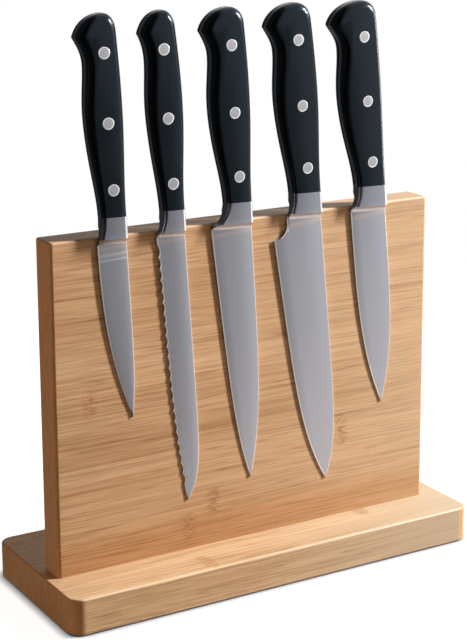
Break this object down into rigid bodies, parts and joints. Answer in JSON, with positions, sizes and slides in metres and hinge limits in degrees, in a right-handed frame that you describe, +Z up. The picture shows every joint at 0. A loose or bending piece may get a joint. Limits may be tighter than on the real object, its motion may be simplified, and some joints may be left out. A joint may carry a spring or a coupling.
{
  "type": "magnetic knife block with knives",
  "caption": "Upright bamboo magnetic board on a flat bamboo base, holding kitchen knives with riveted black handles flat against its front.",
  "frame": {"origin": "middle of the footprint, on the surface that the feet stand on", "axes": "+X to the right and +Y to the back as seen from the knives' side, +Z up"},
  "size_m": [0.264, 0.101, 0.3264],
  "materials": {
    "bamboo": "light bamboo strips laid flat, thin satin lacquer",
    "dowel_wood": "plain beech",
    "strip_steel": "mild steel, uncoated",
    "magnet": "nickel-plated",
    "screw_steel": "zinc-plated",
    "foot_rubber": "matt",
    "blade_steel": "fine satin, polished bolster",
    "handle_plastic": "satin black",
    "rivet_metal": "ground flush, fine grain"
  },
  "bodies": {
    "block": {"base": "bamboo", "front_layer": "bamboo", "back_layer": "bamboo", "upper_strip": "strip_steel", "lower_strip": "strip_steel", "upper_magnet_paring": "magnet", "upper_magnet_serrated": "magnet", "upper_magnet_slicing": "magnet", "upper_magnet_chef": "magnet", "upper_magnet_utility": "magnet", "lower_magnet_paring": "magnet", "lower_magnet_serrated": "magnet", "lower_magnet_slicing": "magnet", "lower_magnet_chef": "magnet", "lower_magnet_utility": "magnet", "dowel_1": "dowel_wood", "dowel_2": "dowel_wood", "dowel_3": "dowel_wood", "dowel_4": "dowel_wood", "screw_1": "screw_steel", "screw_2": "screw_steel", "screw_3": "screw_steel", "foot_1": "foot_rubber", "foot_2": "foot_rubber", "foot_3": "foot_rubber", "foot_4": "foot_rubber"},
    "paring_knife": {"paring_blade": "blade_steel", "paring_front_scale": "handle_plastic", "paring_back_scale": "handle_plastic", "paring_rivet_1": "rivet_metal", "paring_rivet_2": "rivet_metal", "paring_rivet_3": "rivet_metal"},
    "serrated_knife": {"serrated_blade": "blade_steel", "serrated_front_scale": "handle_plastic", "serrated_back_scale": "handle_plastic", "serrated_rivet_1": "rivet_metal", "serrated_rivet_2": "rivet_metal", "serrated_rivet_3": "rivet_metal"},
    "slicing_knife": {"slicing_blade": "blade_steel", "slicing_front_scale": "handle_plastic", "slicing_back_scale": "handle_plastic", "slicing_rivet_1": "rivet_metal", "slicing_rivet_2": "rivet_metal", "slicing_rivet_3": "rivet_metal"},
    "chef_knife": {"chef_blade": "blade_steel", "chef_front_scale": "handle_plastic", "chef_back_scale": "handle_plastic", "chef_rivet_1": "rivet_metal", "chef_rivet_2": "rivet_metal", "chef_rivet_3": "rivet_metal"},
    "utility_knife": {"utility_blade": "blade_steel", "utility_front_scale": "handle_plastic", "utility_back_scale": "handle_plastic", "utility_rivet_1": "rivet_metal", "utility_rivet_2": "rivet_metal", "utility_rivet_3": "rivet_metal"}
  },
  "joints": [
    {"name": "paring_pull", "type": "slide", "parent": "block", "child": "paring_knife", "axis": [0, -1, 0], "range_m": [0, 0.12]},
    {"name": "serrated_pull", "type": "slide", "parent": "block", "child": "serrated_knife", "axis": [0, -1, 0], "range_m": [0, 0.12]},
    {"name": "slicing_pull", "type": "slide", "parent": "block", "child": "slicing_knife", "axis": [0, -1, 0], "range_m": [0, 0.12]},
    {"name": "chef_pull", "type": "slide", "parent": "block", "child": "chef_knife", "axis": [0, -1, 0], "range_m": [0, 0.12]},
    {"name": "utility_pull", "type": "slide", "parent": "block", "child": "utility_knife", "axis": [0, -1, 0], "range_m": [0, 0.12]}
  ]
}
